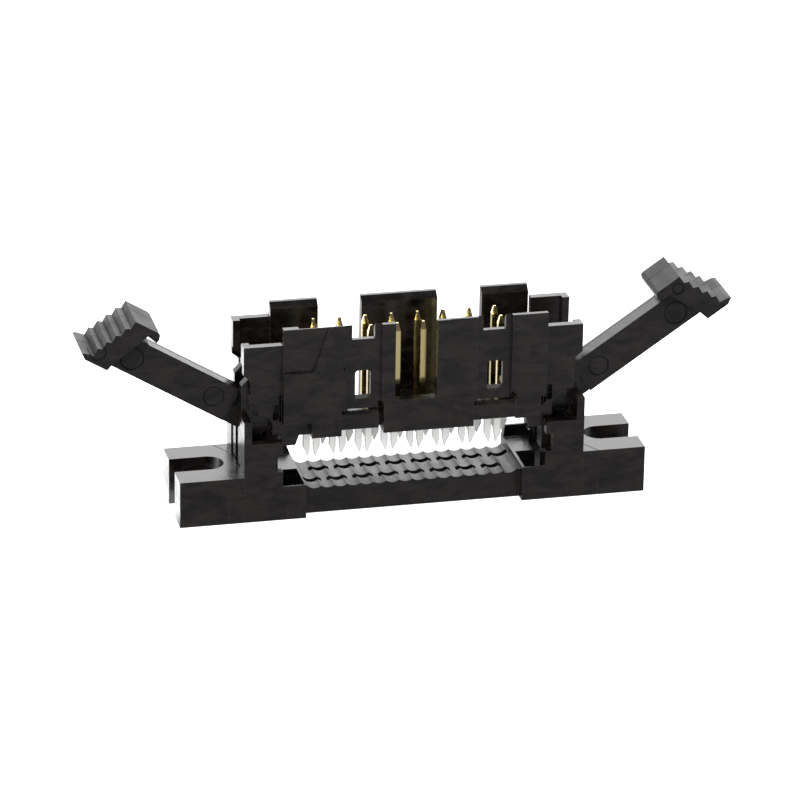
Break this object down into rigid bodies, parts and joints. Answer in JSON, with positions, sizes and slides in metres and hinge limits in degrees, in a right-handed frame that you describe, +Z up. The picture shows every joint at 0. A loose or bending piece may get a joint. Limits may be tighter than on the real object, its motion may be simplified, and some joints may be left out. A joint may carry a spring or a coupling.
{
  "type": "idc box header",
  "caption": "Wire-mount box header with insulation-displacement forks, standing in its eared cable cover, with two swing-out ejector latches.",
  "frame": {"origin": "centre of the cable cover's flat foot", "axes": "+X along the contact rows, +Y from the polarising slot towards the rear wall, +Z up the mating pins"},
  "size_m": [0.0631, 0.0086, 0.0214],
  "materials": {
    "cover_black": "moulded black, slightly glossy",
    "header_black": "moulded black, slightly glossy",
    "latch_black": "moulded black, slightly glossy",
    "contact_plating": "gold on the mating pins, tin on the forks"
  },
  "bodies": {
    "cover": {"cable_cover": "cover_black"},
    "header": {"header_body": "header_black", "contact_01": "contact_plating", "contact_02": "contact_plating", "contact_03": "contact_plating", "contact_04": "contact_plating", "contact_05": "contact_plating", "contact_06": "contact_plating", "contact_07": "contact_plating", "contact_08": "contact_plating", "contact_09": "contact_plating", "contact_10": "contact_plating", "contact_11": "contact_plating", "contact_12": "contact_plating", "contact_13": "contact_plating", "contact_14": "contact_plating", "contact_15": "contact_plating", "contact_16": "contact_plating"},
    "left_latch": {"latch_left": "latch_black"},
    "right_latch": {"latch_right": "latch_black"}
  },
  "joints": [
    {"name": "header_press", "type": "slide", "parent": "cover", "child": "header", "axis": [0, 0, -1], "range_m": [0, 0.0036]},
    {"name": "left_latch_swing", "type": "hinge", "parent": "header", "child": "left_latch", "pos_m": [-0.0148, 0, 0.0092], "axis": [0, 1, 0], "range_deg": [0, 58.8]},
    {"name": "right_latch_swing", "type": "hinge", "parent": "header", "child": "right_latch", "pos_m": [0.0148, 0, 0.0092], "axis": [0, -1, 0], "range_deg": [-3.1, 55.7]}
  ]
}
